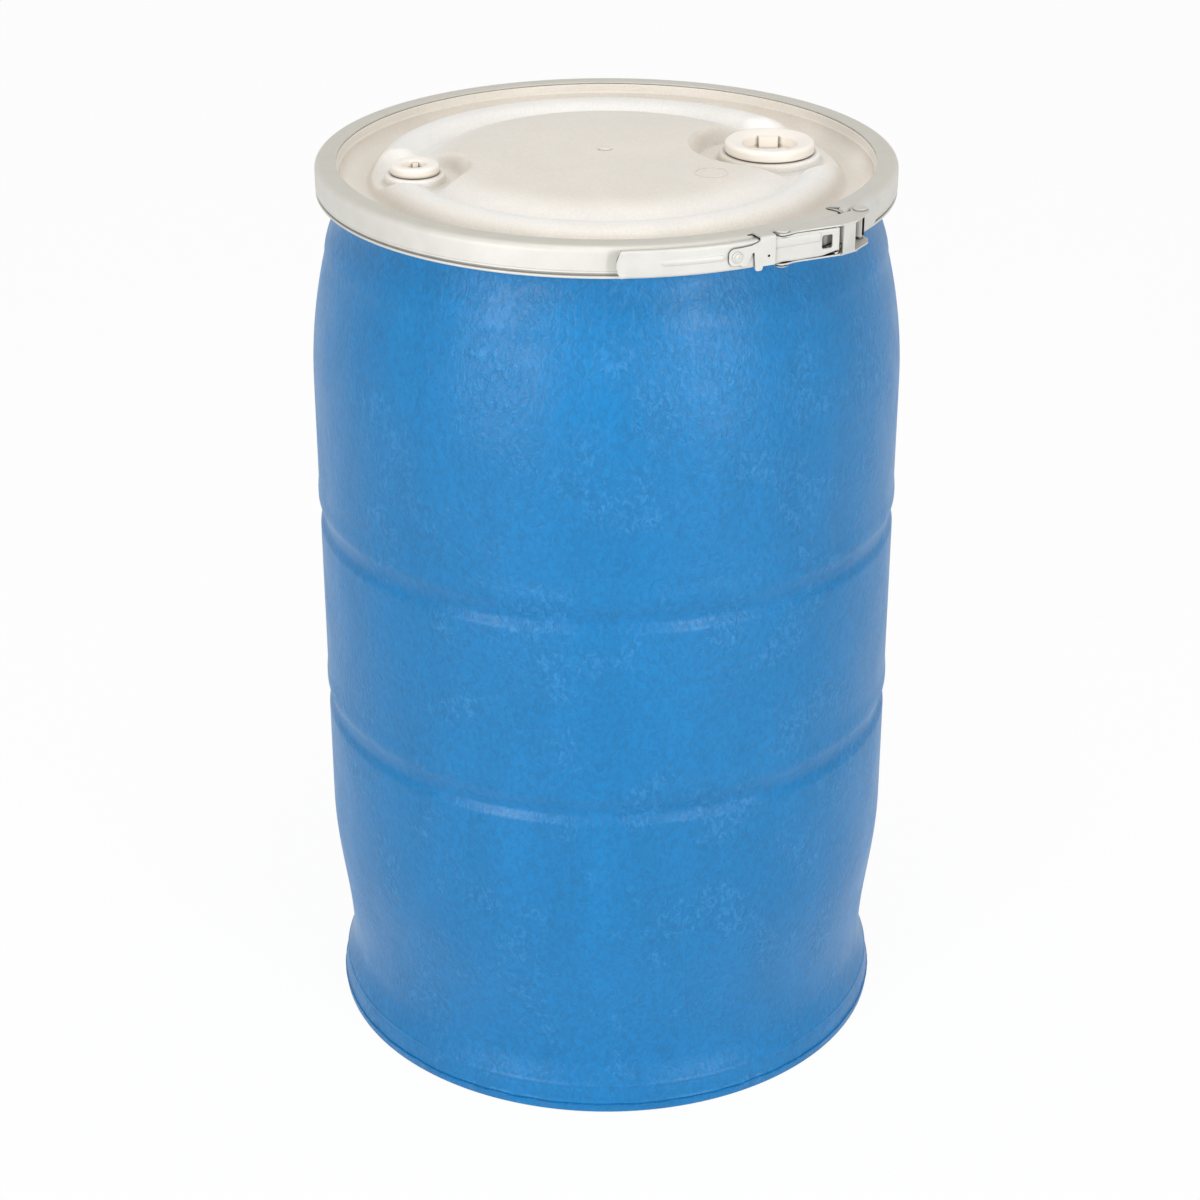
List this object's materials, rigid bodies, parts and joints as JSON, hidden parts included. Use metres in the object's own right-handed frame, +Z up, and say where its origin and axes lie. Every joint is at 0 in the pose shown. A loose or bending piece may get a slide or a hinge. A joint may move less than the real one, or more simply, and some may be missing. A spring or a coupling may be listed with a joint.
{
  "type": "open head drum",
  "caption": "Blue plastic open head drum with a pale lid, two screw plugs and a steel closing ring with an over-centre lever latch.",
  "frame": {"origin": "centre of the drum's footprint, on the surface it stands on", "axes": "+Z up along the drum's axis; -Y towards the front, with the lever latch at the front right; +X to the right, towards the large plug"},
  "size_m": [0.4813, 0.4814, 0.7596],
  "materials": {
    "body_blue": "blow-moulded high-density polyethylene, satin with a fine wrinkled skin",
    "lid_natural": "moulded natural white polyethylene, satin",
    "plug_white": "moulded warm white polyethylene, satin",
    "gasket_black": "smooth black rubber",
    "ring_steel": "galvanised steel strip, dull pale grey",
    "latch_steel": "galvanised pressed steel, dull pale grey"
  },
  "bodies": {
    "drum": {"drum_body": "body_blue"},
    "lid": {"lid": "lid_natural", "lid_gasket": "gasket_black"},
    "large_plug_thread": {"large_plug_gasket": "gasket_black"},
    "large_plug": {"large_plug": "plug_white"},
    "small_plug_thread": {"small_plug_gasket": "gasket_black"},
    "small_plug": {"small_plug": "plug_white"},
    "ring": {"ring_band": "ring_steel", "fulcrum_bracket": "latch_steel", "catch_bracket": "latch_steel"},
    "lever": {"lever": "latch_steel", "fulcrum_pin": "latch_steel", "latch_rivet": "latch_steel"},
    "link": {"link": "latch_steel", "link_pin": "latch_steel", "catch_pin": "latch_steel"},
    "safety_latch": {"latch_plate": "latch_steel"}
  },
  "joints": [
    {"name": "lid_lift", "type": "slide", "parent": "drum", "child": "lid", "axis": [0, 0, 1], "range_m": [0, 0.2]},
    {"name": "large_plug_turn", "type": "hinge", "parent": "large_plug_thread", "child": "large_plug", "pos_m": [0.13097, 0.02736, 0.7518], "axis": [0, 0, 1], "range_deg": [0, 1080]},
    {"name": "large_plug_rise", "type": "slide", "parent": "lid", "child": "large_plug_thread", "axis": [0, 0, 1], "range_m": [0, 0.0153]},
    {"name": "small_plug_turn", "type": "hinge", "parent": "small_plug_thread", "child": "small_plug", "pos_m": [-0.15026, -0.03139, 0.7518], "axis": [0, 0, 1], "range_deg": [0, 2160]},
    {"name": "small_plug_rise", "type": "slide", "parent": "lid", "child": "small_plug_thread", "axis": [0, 0, 1], "range_m": [0, 0.0109]},
    {"name": "ring_lift", "type": "slide", "parent": "lid", "child": "ring", "axis": [0, 0, 1], "range_m": [0, 0.12]},
    {"name": "lever_swing", "type": "hinge", "parent": "ring", "child": "lever", "pos_m": [0.17278, -0.15943, 0.7447], "axis": [0, 0, 1], "range_deg": [0, 110], "deforming": ["ring_band"]},
    {"name": "link_swing", "type": "hinge", "parent": "lever", "child": "link", "pos_m": [0.12777, -0.19675, 0.7447], "axis": [0, 0, 1], "range_deg": [-110, 0]},
    {"name": "safety_latch_turn", "type": "hinge", "parent": "lever", "child": "safety_latch", "pos_m": [0.09411, -0.21969, 0.7447], "axis": [0.3938, -0.9192, 0], "range_deg": [0, 50]}
  ],
  "couplings": [
    {"joint": "large_plug_rise", "follows": "large_plug_turn", "m_per_rad": 0.00080851},
    {"joint": "small_plug_rise", "follows": "small_plug_turn", "m_per_rad": 0.00028871},
    {"joint": "link_swing", "follows": "lever_swing", "ratio": -1}
  ]
}
